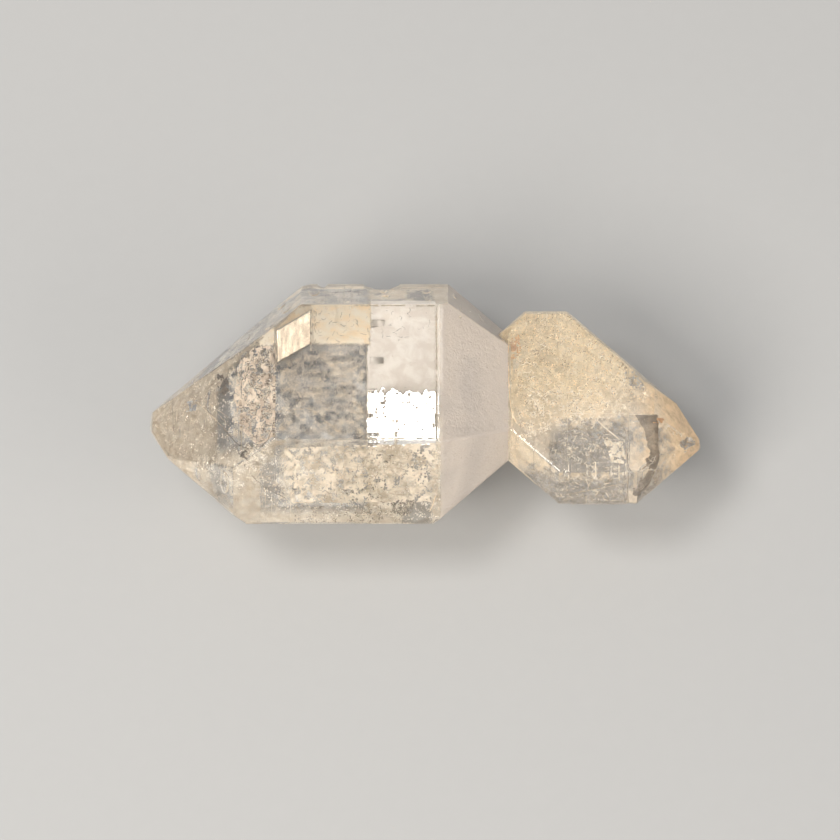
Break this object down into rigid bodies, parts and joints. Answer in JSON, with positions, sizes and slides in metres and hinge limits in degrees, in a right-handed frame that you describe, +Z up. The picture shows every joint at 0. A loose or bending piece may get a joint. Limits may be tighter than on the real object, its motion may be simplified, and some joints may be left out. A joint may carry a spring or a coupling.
{
  "type": "double terminated rutilated quartz crystal",
  "caption": "Clear, pale yellow quartz crystals with points at both ends, grown together end to end, with thin rutile hairs and veils inside; lies on a flat spot.",
  "frame": {"origin": "a point of the flat spot the piece rests on, below the larger crystal's long axis, in the resting plane", "axes": "+X along the long axis both crystals share, from the larger crystal towards the smaller one; +Z up, away from the resting face; +Y away from the side the picture shows"},
  "size_m": [0.0363, 0.0171, 0.0136],
  "materials": {
    "clear_warm_quartz": "natural glassy crystal faces, clear to cloudy, pale warm yellow at one end"
  },
  "bodies": {
    "root": {"joined_quartz_crystals": "clear_warm_quartz"}
  },
  "joints": []
}
